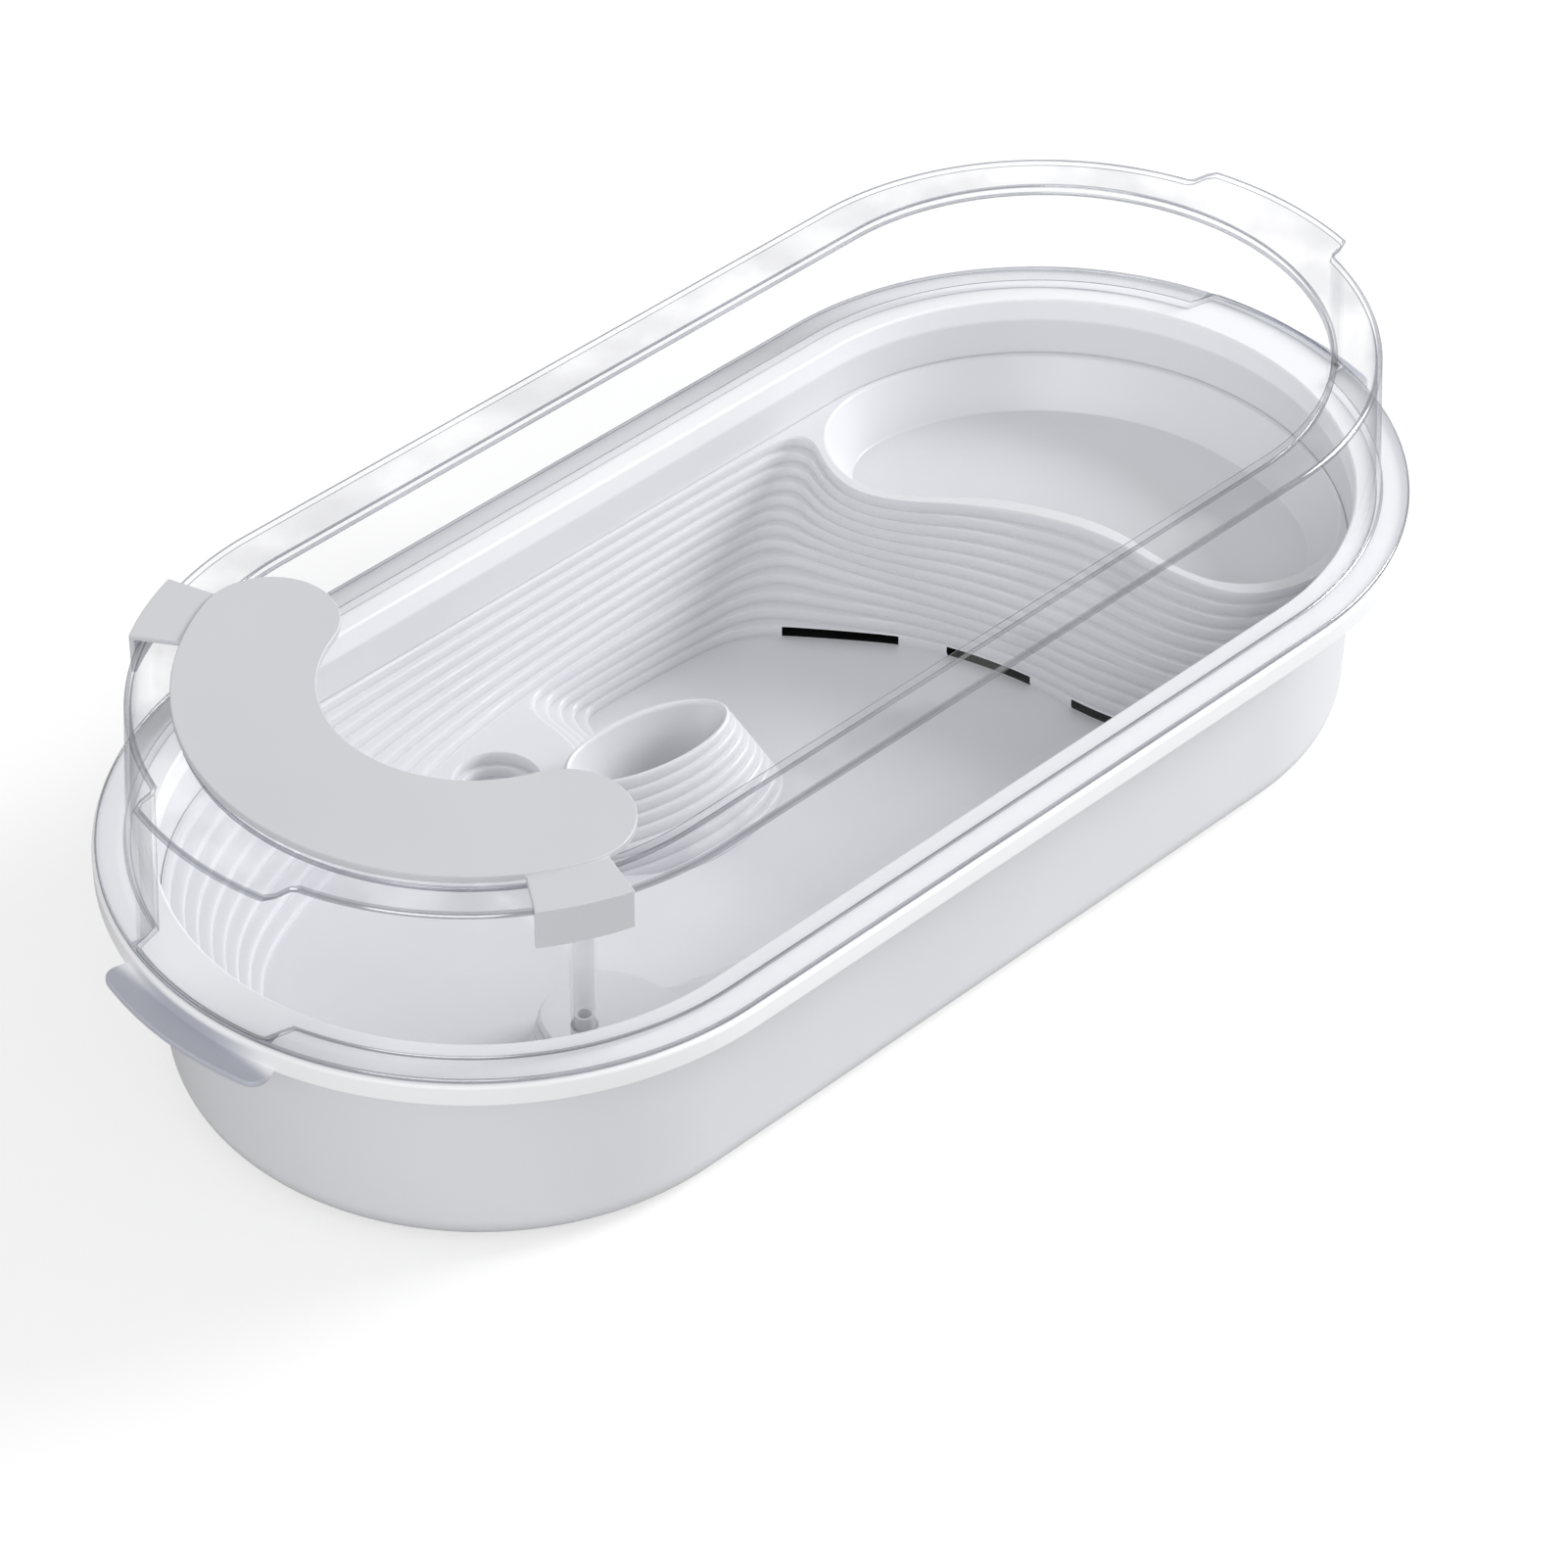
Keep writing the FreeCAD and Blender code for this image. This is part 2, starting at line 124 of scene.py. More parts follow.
# Slots at the foot of the tray bank, each from one end to the other.
SLOTS = [((84, 81), (114, 47)), ((128, 29), (133, -7)), ((131, -28), (139, -50))]


class TubSizes(PropertyGroup):
    """Sizes of the tub, in millimetres."""

    half_straight: FloatProperty(
        name="Half straight", description="Half length of the straight sides", default=145.0)
    height: FloatProperty(name="Height", description="Height of the rim", default=95.0)
    wall: FloatProperty(name="Wall", description="Wall thickness", default=2.8)
    foot_half_width: FloatProperty(
        name="Foot half width", description="Half width of the wall at the floor", default=114.7)
    draft: FloatProperty(
        name="Draft", description="Half width gained for each millimetre of height",
        default=0.028, precision=3)
    foot_radius: FloatProperty(
        name="Foot radius", description="Rounding of the outer foot", default=14.0)
    rim_half_width: FloatProperty(
        name="Rim half width", description="Half width at the outside of the lip", default=136.19)
    rim_wall: FloatProperty(
        name="Rim wall", description="Thickness of the rim and its lip", default=2.5)
    lip_height: FloatProperty(
        name="Lip height", description="Height of the lip turned down at the rim", default=9.0)
    tab_half_width: FloatProperty(
        name="Tab half width", description="Half width of a handle tab", default=41.0)
    tab_reach: FloatProperty(
        name="Tab reach", description="How far a tab stands out from the lip", default=9.79)
    tab_root: FloatProperty(
        name="Tab root", description="How far a tab reaches into the lip", default=1.2)
    tab_wall: FloatProperty(name="Tab wall", description="Thickness of a tab", default=2.6)
    tab_corner: FloatProperty(
        name="Tab corner", description="Radius of a tab's outer corners", default=6.0)
    tab_edge: FloatProperty(
        name="Tab edge", description="Rounding of a tab's edges", default=0.7)
    ring_steps: IntProperty(
        name="Ring steps", description="Segments round each end", default=72, min=8)


class TerrainSizes(PropertyGroup):
    """Sizes of the terrain insert, in millimetres."""

    fit: FloatProperty(name="Fit", description="Gap to the tub's wall", default=0.3)
    floor: FloatProperty(name="Floor", description="Height of the pool floor", default=5.4)
    step: FloatProperty(name="Step", description="Height of a terrace", default=5.0)
    edge_rise: FloatProperty(
        name="Edge rise", description="Height of the rounding on a terrace's edge", default=1.5)
    edge_share: FloatProperty(
        name="Edge share", description="Part of a tread taken by the rounding of its edge",
        default=0.42, subtype="FACTOR", min=0.0, max=1.0)
    groove: FloatProperty(
        name="Groove", description="Depth of the groove under a terrace's edge", default=0.6)
    tray_depth: FloatProperty(name="Tray depth", description="Depth of the tray", default=19.4)
    tray_run: FloatProperty(
        name="Tray wall run", description="How far the tray's wall slopes inwards", default=10.0)
    shelf_tread: FloatProperty(
        name="Shelf tread", description="Width of the shelf's steps", default=1.2)
    pit_radius: FloatProperty(name="Pit radius", description="Radius of the pit", default=16.0)
    pit_tread: FloatProperty(
        name="Pit tread", description="Width of the pit's steps", default=2.2)
    slope_rounding: FloatProperty(
        name="Slope rounding", description="Rounding at the foot of the slope", default=14.0)
    slot_height: FloatProperty(
        name="Slot height", description="Height of the slots at the pool floor", default=4.4)
    slot_depth: FloatProperty(
        name="Slot depth", description="Length of a slot's cutter across the bank", default=18.0)


class GuardSizes(PropertyGroup):
    """Sizes of the clear guard and the shade cover, in millimetres."""

    seat_gap: FloatProperty(
        name="Seat gap", description="Gap between the rim and the foot flange", default=0.08)
    height: FloatProperty(name="Height", description="Height above the rim", default=62.0)
    wall: FloatProperty(name="Wall", description="Wall thickness", default=1.8)
    foot_half_width: FloatProperty(
        name="Foot half width", description="Half width at the wall's foot", default=124.2)
    top_half_width: FloatProperty(
        name="Top half width", description="Half width at the wall's top", default=120.7)
    flange_half_width: FloatProperty(
        name="Flange half width", description="Half width of the foot flange", default=135.0)
    opening_half_width: FloatProperty(
        name="Opening half width", description="Half width of the opening", default=102.0)
    lip_drop: FloatProperty(
        name="Lip drop", description="Height of the lip round the opening", default=5.0)
    bulge_depth: FloatProperty(
        name="Bulge depth", description="How far the end bulges stand out", default=9.8)
    bulge_half_width: FloatProperty(
        name="Bulge half width", description="Half width of a bulge", default=33.0)
    bulge_bend: FloatProperty(
        name="Bulge bend", description="Width of the curve at each side of a bulge", default=6.0)
    ring_steps: IntProperty(
        name="Ring steps", description="Segments round each end", default=150, min=8)
    edge_band: FloatProperty(
        name="Edge band", description="Widest face that counts as part of an edge", default=0.9)
    cover_edge: FloatProperty(
        name="Cover edge", description="Rounding of the cover's edges", default=0.7)


class TankColours(PropertyGroup):
    """Colours of the plastics and the floor, with painted light on the rim and painted shade on
    the tabs.
    """

    white: FloatVectorProperty(
        name="White plastic", description="Colour of the tub and the terrain", subtype="COLOR",
        size=3, min=0.0, max=1.0, default=(0.745, 0.750, 0.778))
    # Painted light: the rim and lip are the tub's own white plastic, drawn in this lighter colour
    # as if lit more.
    rim: FloatVectorProperty(
        name="Rim", description="Colour of the tub's rim and lip", subtype="COLOR",
        size=3, min=0.0, max=1.0, default=(0.89, 0.895, 0.915))
    # Painted shade: the tabs are the tub's own plastic, drawn in this darker colour as if shaded.
    tab: FloatVectorProperty(
        name="Handle tabs", description="Colour of the tabs at both ends", subtype="COLOR",
        size=3, min=0.0, max=1.0, default=(0.47, 0.485, 0.55))
    cover: FloatVectorProperty(
        name="Shade cover", description="Colour of the shade cover", subtype="COLOR",
        size=3, min=0.0, max=1.0, default=(0.60, 0.605, 0.63))
    clear: FloatVectorProperty(
        name="Clear plastic", description="Tint of the clear plastic", subtype="COLOR",
        size=3, min=0.0, max=1.0, default=(0.982, 0.983, 0.986))
    clear_edge_on: FloatVectorProperty(
        name="Clear edge on", description="Tint of the clear plastic at a grazing view",
        subtype="COLOR", size=3, min=0.0, max=1.0, default=(0.72, 0.73, 0.76))
    clear_edge: FloatVectorProperty(
        name="Clear edge", description="Tint of the guard's rounded edges",
        subtype="COLOR", size=3, min=0.0, max=1.0, default=(0.48, 0.49, 0.52))
    clear_flange: FloatVectorProperty(
        name="Clear flange", description="Tint of the guard's top flange",
        subtype="COLOR", size=3, min=0.0, max=1.0, default=(0.90, 0.90, 0.91))
    floor: FloatVectorProperty(
        name="Studio floor", description="Colour of the floor", subtype="COLOR",
        size=3, min=0.0, max=1.0, default=(0.55, 0.55, 0.55))


def grow(corners, distance):
    """Corners of an outline moved outwards by a distance, inwards if it is negative."""
    following = corners[1:] + corners[:1]
    area = sum(a[0] * b[1] - b[0] * a[1] for a, b in zip(corners, following))
    outwards = distance if area > 0 else -distance
    grown = []
    for index, corner in enumerate(corners):
        here = Vector(corner)
        first = (here - Vector(corners[index - 1])).normalized()
        second = (Vector(following[index]) - here).normalized()
        side = Vector((first.y, -first.x))
        normal = (side + Vector((second.y, -second.x))).normalized()
        grown.append(tuple(here + normal * outwards / normal.dot(side)))
    return grown


def between(first, second, share):
    """Corners a share of the way from one outline to another."""
    return [tuple(Vector(a).lerp(Vector(b), share)) for a, b in zip(first, second)]


def smooth_ring(bm, corners, height):
    """Ring of edges that runs smoothly inside the corners of an outline."""
    curve = bpy.data.curves.new("ring", "CURVE")
    curve.dimensions = "3D"
    spline = curve.splines.new("NURBS")
    spline.points.add(len(corners) - 1)
    for point, (x, y) in zip(spline.points, corners):
        point.co = (x * MM, y * MM, height * MM, 1)
    spline.use_cyclic_u = True
    spline.order_u = 3
    spline.resolution_u = 7
    holder = bpy.data.objects.new("ring", curve)
    mesh = bpy.data.meshes.new_from_object(holder)
    before = len(bm.edges)
    bm.from_mesh(mesh)
    ring = list(bm.edges)[before:]
    bpy.data.objects.remove(holder)
    bpy.data.curves.remove(curve)
    bpy.data.meshes.remove(mesh)
    return ring


def oval_ring(bm, centre, axes, turn, height):
    """Ring of edges round an ellipse turned about its centre."""
    place = Matrix.Translation(Vector((*centre, height)) * MM)
    place @= Matrix.Rotation(math.radians(turn), 4, "Z")
    place @= Matrix.Diagonal((axes[0] * MM, axes[1] * MM, 1, 1))
    before = len(bm.edges)
    bmesh.ops.create_circle(bm, segments=72, radius=1, matrix=place)
    return list(bm.edges)[before:]


def close_stack(bm, rings, heights):
    """Joins evenly spaced rings of edges, caps both ends and moves each ring to its height."""
    for lower, upper in zip(rings, rings[1:]):
        bmesh.ops.bridge_loops(bm, edges=lower + upper)
    for ring in (rings[0], rings[-1]):
        cap = bmesh.ops.contextual_create(bm, geom=ring)["faces"]
        bmesh.ops.triangulate(bm, faces=cap)
    bmesh.ops.recalc_face_normals(bm, faces=bm.faces)
    if bm.calc_volume(signed=True) < 0:
        bmesh.ops.reverse_faces(bm, faces=bm.faces)
    for ring, height in zip(rings, heights):
        for vert in {vert for edge in ring for vert in edge.verts}:
            vert.co.z = height * MM


def stacked_form(name, rows):
    """Solid object through smooth outlines, given as (corners, height) from the bottom up."""
    bm = bmesh.new()
    close_stack(
        bm,
        [smooth_ring(bm, row[0], number * RING_SPACING) for number, row in enumerate(rows)],
        [row[1] for row in rows])
    return form_object(name, bm)


def oval_form(name, centre, turn, rows):
    """Solid object through ellipses, given as (axes, height) from the bottom up."""
    bm = bmesh.new()
    close_stack(
        bm,
        [
            oval_ring(bm, centre, row[0], turn, number * RING_SPACING)
            for number, row in enumerate(rows)
        ],
        [row[1] for row in rows])
    return form_object(name, bm)


def form_object(name, bm):
    """Object made from a bmesh, at the origin."""
    mesh = bpy.data.meshes.new(name)
    bm.to_mesh(mesh)
    bm.free()
    piece = bpy.data.objects.new(name, mesh)
    bpy.context.scene.collection.objects.link(piece)
    return piece


def combine(piece, tool, operation):
    """Joins, cuts or trims a piece with a tool object, which is used up."""
    modifier = piece.modifiers.new("Combine", "BOOLEAN")
    modifier.operation = operation
    modifier.solver = "MANIFOLD"
    modifier.object = tool
    modifier.material_mode = "TRANSFER"
    graph = bpy.context.evaluated_depsgraph_get()
    made = bpy.data.meshes.new_from_object(piece.evaluated_get(graph))
    old = piece.data
    piece.modifiers.clear()
    piece.data = made
    bpy.data.meshes.remove(old)
    used = tool.data
    bpy.data.objects.remove(tool)
    bpy.data.meshes.remove(used)


def profile_wire(bm, points, x):
    """Wire through (half width, height) points on the near side of the plan at x."""
    verts = [bm.verts.new(Vector((x, -width, height)) * MM) for width, height, _ in points]
    return verts, [bm.edges.new(pair) for pair in zip(verts, verts[1:])]


def round_profile(points, closed):
    """Profile points with each corner of given radius turned into an arc."""
    count = len(points)
    rounded = []
    for index, (width, height, radius) in enumerate(points):
        at_end = not closed and index in (0, count - 1)
        if at_end or not radius:
            rounded.append((width, height, 0))
            continue
        here = Vector((width, height))
        back = Vector(points[index - 1][:2]) - here
        ahead = Vector(points[(index + 1) % count][:2]) - here
        half = back.angle(ahead) / 2
        reach = radius / math.tan(half)
        inwards = (back.normalized() + ahead.normalized()).normalized()
        middle = here + inwards * radius / math.sin(half)
        first = here + back.normalized() * reach - middle
        sweep = first.angle_signed(here + ahead.normalized() * reach - middle)
        steps = max(2, round(abs(sweep) * math.sqrt(radius) * 2.5))
        for number in range(steps + 1):
            spoke = Matrix.Rotation(-sweep * number / steps, 2) @ first
            rounded.append((*(middle + spoke), 0))
    return rounded


def run_round(bm, points, half_straight, steps, closed):
    """Sweeps a profile round the oval plan: an end, a straight side, an end, a straight side."""
    profile = round_profile(points, closed)
    if closed:
        profile.append(profile[0])
    verts, edges = profile_wire(bm, profile, half_straight)
    geometry = verts + edges
    for centre in (half_straight, -half_straight):
        turned = bmesh.ops.spin(
            bm, geom=geometry, cent=Vector((centre, 0, 0)) * MM, axis=UP, angle=math.pi,
            steps=steps, use_duplicate=False)
        last = [part for part in turned["geom_last"] if isinstance(part, bmesh.types.BMEdge)]
        pulled = bmesh.ops.extrude_edge_only(bm, edges=last)["geom"]
        moved = {part for part in pulled if isinstance(part, bmesh.types.BMVert)}
        bmesh.ops.translate(bm, verts=list(moved), vec=Vector((-2 * centre, 0, 0)) * MM)
        ahead = {
            edge for vert in moved for edge in vert.link_edges
            if moved.issuperset(edge.verts)
        }
        geometry = list(moved) + list(ahead)
    bmesh.ops.remove_doubles(bm, verts=bm.verts, dist=0.02 * MM)


def close_oval(bm):
    """Fills the holes left in the middle of a swept form and turns its faces outwards."""
    rim = [edge for edge in bm.edges if edge.is_boundary]
    bmesh.ops.holes_fill(bm, edges=rim, sides=0)
    bmesh.ops.recalc_face_normals(bm, faces=bm.faces)


def shade(piece, angle=32.0):
    """Smooth shading with sharp edges where faces meet at more than an angle."""
    bm = bmesh.new()
    bm.from_mesh(piece.data)
    for face in bm.faces:
        face.smooth = True
    for edge in bm.edges:
        edge.smooth = edge.calc_face_angle(0) < math.radians(angle)
    bm.to_mesh(piece.data)
    bm.free()
    modifier = piece.modifiers.new("Weighted normals", "WEIGHTED_NORMAL")
    modifier.keep_sharp = True


def put_in_place(piece, node, material=None):
    """Lets a piece stand for a node of the frame: gives it the material if one is given, hangs it
    on the root body and hides the node.
    """
    if material is not None:
        piece.data.materials.clear()
        piece.data.materials.append(material)
    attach(piece, "root")
    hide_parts(node)


def new_material(name):
    """Material with a principled shader, and the pieces that its nodes are built from."""
    material = bpy.data.materials.new(name)
    material.use_nodes = True
    tree = material.node_tree
    shader = tree.nodes["Principled BSDF"]
    place = tree.nodes.new("ShaderNodeTexCoord")
    return material, tree, shader, place.outputs["Object"]


def noise(tree, vector, scale, detail=3.0):
    """Noise on a position, as a value."""
    node = tree.nodes.new("ShaderNodeTexNoise")
    node.inputs["Scale"].default_value = scale
    node.inputs["Detail"].default_value = detail
    tree.links.new(vector, node.inputs["Vector"])
    return node.outputs["Fac"]


def remap(tree, value, low, high, new_low, new_high):
    """Value moved smoothly from one range to another."""
    node = tree.nodes.new("ShaderNodeMapRange")
    node.interpolation_type = "SMOOTHSTEP"
    for socket, number in zip(
        ("From Min", "From Max", "To Min", "To Max"), (low, high, new_low, new_high)
    ):
        node.inputs[socket].default_value = number
    tree.links.new(value, node.inputs["Value"])
    return node.outputs["Result"]


def calculate(tree, operation, first, second=None):
    """Sum, product or other combination of values, the second may be a plain number."""
    node = tree.nodes.new("ShaderNodeMath")
    node.operation = operation
    tree.links.new(first, node.inputs[0])
    if isinstance(second, float):
        node.inputs[1].default_value = second
    elif second is not None:
        tree.links.new(second, node.inputs[1])
    return node.outputs["Value"]


def mix_colours(tree, share, first, second):
    """Colour between two colours, each a socket or plain numbers."""
    node = tree.nodes.new("ShaderNodeMix")
    node.data_type = "RGBA"
    tree.links.new(share, node.inputs["Factor"])
    for socket, colour in ((node.inputs[6], first), (node.inputs[7], second)):
        if isinstance(colour, bpy.types.NodeSocket):
            tree.links.new(colour, socket)
        else:
            socket.default_value = (*colour, 1)
    return node.outputs[2]


def clouded(tree, place, colour):
    """Colour with the faintest clouding."""
    cloud = remap(tree, noise(tree, place, 9.0), 0.35, 0.65, 0.0, 1.0)
    darker = [channel * 0.972 for channel in colour]
    return mix_colours(tree, cloud, darker, colour)


def moulded_skin(tree, shader, place, roughness):
    """Slightly uneven gloss and a faint moulded waviness."""
    patches = noise(tree, place, 14.0)
    tree.links.new(
        remap(tree, patches, 0.3, 0.7, roughness - 0.04, roughness + 0.05),
        shader.inputs["Roughness"])
    bump = tree.nodes.new("ShaderNodeBump")
    bump.inputs["Strength"].default_value = 0.05
    bump.inputs["Distance"].default_value = 0.0002
    tree.links.new(noise(tree, place, 900.0, detail=2.0), bump.inputs["Height"])
    tree.links.new(bump.outputs["Normal"], shader.inputs["Normal"])


def plastic(name, colour, roughness=0.34):
    """Moulded plastic in one colour."""
    material, tree, shader, place = new_material(name)
    tree.links.new(clouded(tree, place, colour), shader.inputs["Base Color"])
    moulded_skin(tree, shader, place, roughness)
    shader.inputs["IOR"].default_value = PLASTIC_IOR
    return material


def tub_plastic(name, colours, sizes):
    """White plastic of the tub, with painted light that makes the rim and lip lighter and painted
    shade that makes the tabs and the lip's face at both ends darker.
    """
    material, tree, shader, place = new_material(name)
    body = clouded(tree, place, colours.white)
    split = tree.nodes.new("ShaderNodeSeparateXYZ")
    tree.links.new(place, split.inputs["Vector"])
    # Painted light: the rim and the lip above the lip's foot are drawn lighter than the rest of
    # the tub.
    lip_foot = sizes.height - sizes.lip_height
    painted_rim_light_share = remap(
        tree, split.outputs["Z"], (lip_foot - 1.5) * MM, (lip_foot + 0.5) * MM, 0.0, 1.0)
    body = mix_colours(tree, painted_rim_light_share, body, colours.rim)
    # Painted shade: the tabs and the lip's face at both ends, below the rim's top, are drawn
    # darker.
    reach = sizes.half_straight + sizes.rim_half_width
    along = calculate(tree, "ABSOLUTE", split.outputs["X"])
    across = calculate(tree, "ABSOLUTE", split.outputs["Y"])
    out = remap(tree, along, (reach - 5.0) * MM, (reach + 0.6) * MM, 0.0, 1.0)
    inside = remap(
        tree, across, sizes.tab_half_width * MM, (sizes.tab_half_width + 4.0) * MM, 1.0, 0.0)
    low = remap(
        tree, split.outputs["Z"], (sizes.height - 3.5) * MM, (sizes.height - 1.5) * MM, 1.0, 0.0)
    share = calculate(tree, "MULTIPLY", calculate(tree, "MULTIPLY", out, inside), low)
    tree.links.new(mix_colours(tree, share, body, colours.tab), shader.inputs["Base Color"])
    moulded_skin(tree, shader, place, 0.36)
    shader.inputs["IOR"].default_value = PLASTIC_IOR
    return material


def painted_slot_shade_material(name):
    """Near-black painted shade on the faces of a slot's pocket, standing in for the unlit space
    below the slot.
    """
    material, tree, shader, place = new_material(name)
    shade_mottle = remap(tree, noise(tree, place, 60.0), 0.3, 0.7, 0.0, 1.0)
    tree.links.new(
        mix_colours(tree, shade_mottle, (0.010, 0.010, 0.011), (0.016, 0.016, 0.018)),
        shader.inputs["Base Color"])
    shader.inputs["Roughness"].default_value = 1.0
    shader.inputs["Specular IOR Level"].default_value = 0.0
    return material


def clear_edge(name, tint, gloss_share):
    """Clear plastic at an edge or a flange, tinted, with an even share of gloss."""
    material, tree, shader, place = new_material(name)
    tree.nodes.remove(shader)
    pane = tree.nodes.new("ShaderNodeBsdfTransparent")
    cloud = remap(tree, noise(tree, place, 25.0), 0.35, 0.65, 0.0, 1.0)
    lighter = [min(1.0, channel * 1.15) for channel in tint]
    tree.links.new(mix_colours(tree, cloud, tint, lighter), pane.inputs["Color"])
    gloss = tree.nodes.new("ShaderNodeBsdfGlossy")
    gloss.inputs["Color"].default_value = (1, 1, 1, 1)
    gloss.inputs["Roughness"].default_value = 0.12
    mixed = tree.nodes.new("ShaderNodeMixShader")
    mixed.inputs["Fac"].default_value = gloss_share
    tree.links.new(pane.outputs["BSDF"], mixed.inputs[1])
    tree.links.new(gloss.outputs["BSDF"], mixed.inputs[2])
    tree.links.new(mixed.outputs["Shader"], tree.nodes["Material Output"].inputs["Surface"])
    return material


def milky_plastic(name, colour, cloudiness):
    """Thin plastic that lets most light through and looks whitish."""
    material, tree, shader, place = new_material(name)
    lighter = [min(1.0, channel * 1.3) for channel in colour]
    cloud = remap(tree, noise(tree, place, 40.0), 0.35, 0.65, 0.0, 1.0)
    tree.links.new(mix_colours(tree, cloud, colour, lighter), shader.inputs["Base Color"])
    shader.inputs["Roughness"].default_value = 0.2
    pane = tree.nodes.new("ShaderNodeBsdfTransparent")
    mixed = tree.nodes.new("ShaderNodeMixShader")
    mixed.inputs["Fac"].default_value = cloudiness
    tree.links.new(pane.outputs["BSDF"], mixed.inputs[1])
    tree.links.new(shader.outputs["BSDF"], mixed.inputs[2])
    tree.links.new(mixed.outputs["Shader"], tree.nodes["Material Output"].inputs["Surface"])
    return material


def clear_plastic(name, tint, edge_tint):
    """Clear plastic: see-through, glossy at a grazing view and darker where seen edge on."""
    material, tree, shader, place = new_material(name)
    tree.nodes.remove(shader)
    weight = tree.nodes.new("ShaderNodeLayerWeight")
    weight.inputs["Blend"].default_value = 0.5
    facing = weight.outputs["Facing"]
    pane = tree.nodes.new("ShaderNodeBsdfTransparent")
    edge_on = remap(tree, facing, 0.72, 1.0, 0.0, 1.0)
    tree.links.new(mix_colours(tree, edge_on, tint, edge_tint), pane.inputs["Color"])
    gloss = tree.nodes.new("ShaderNodeBsdfGlossy")
    gloss.inputs["Color"].default_value = (1, 1, 1, 1)
    tree.links.new(
        remap(tree, noise(tree, place, 30.0), 0.3, 0.7, 0.03, 0.07), gloss.inputs["Roughness"])
    sheen = calculate(tree, "POWER", facing, 4.0)
    mixed = tree.nodes.new("ShaderNodeMixShader")
    tree.links.new(remap(tree, sheen, 0.0, 1.0, 0.015, 0.4), mixed.inputs["Fac"])
    tree.links.new(pane.outputs["BSDF"], mixed.inputs[1])
    tree.links.new(gloss.outputs["BSDF"], mixed.inputs[2])
    output = tree.nodes["Material Output"]
    tree.links.new(mixed.outputs["Shader"], output.inputs["Surface"])
    return material


def studio_floor(name, colour):
    """Plain matt floor that the camera sees as white, with the object's shadow."""
    material, tree, shader, _ = new_material(name)
    shader.inputs["Base Color"].default_value = (*colour, 1)
    shader.inputs["Roughness"].default_value = 0.95
    shader.inputs["Specular IOR Level"].default_value = 0.0
    shader.inputs["Emission Color"].default_value = (1, 1, 1, 1)
    rays = tree.nodes.new("ShaderNodeLightPath")
    whitening = 0.5
    tree.links.new(
        calculate(tree, "MULTIPLY", rays.outputs["Is Camera Ray"], whitening),
        shader.inputs["Emission Strength"])
    return material


def white_plastic(scene):
    """The white plastic that several pieces share."""
    known = bpy.data.materials.get("white_plastic")
    return known or plastic("white_plastic", scene.tank_colours.white)


def tub_half_width(sizes, height):
    """Half width of the tub's outer wall at a height."""
    return sizes.foot_half_width + sizes.draft * height


def oval_block(name, sizes, inset, base, top, foot):
    """Solid oval of the tub's form with its wall moved inwards."""
    bm = bmesh.new()
    middle = sizes.half_straight / 2
    run_round(bm, [
        (middle, base, 0), (tub_half_width(sizes, base) - inset - foot, base, 0),
        (tub_half_width(sizes, base + foot) - inset, base + foot, 0),
        (tub_half_width(sizes, top) - inset, top, 0), (middle, top, 0),
    ], sizes.half_straight, sizes.ring_steps, False)
    close_oval(bm)
    return form_object(name, bm)


def terrace_rows(first, second, sizes, start, count, clear):
    """Outlines of a stepped wall: a groove at the foot of every step and a rounded edge.

    The last outline is repeated a clear height above the top step.
    """
    rows = []
    tread = 1 / (count - 1)
    for number in range(count):
        share = number * tread
        low = sizes.floor + (start + number) * sizes.step
        high = low + sizes.step
        edge = sizes.edge_share * tread
        face = between(first, second, share)
        rows += [
            (grow(face, sizes.groove), low),
            (grow(face, 0.6 * sizes.groove), low + 0.9),
            (face, low + 2.0),
            (between(first, second, share + 0.04 * tread), high - sizes.edge_rise),
            (between(first, second, share + 0.3 * edge), high - 0.35 * sizes.edge_rise),
            (between(first, second, share + edge), high),
        ]
    rows.append((rows[-1][0], rows[-1][1] + clear))
    return rows


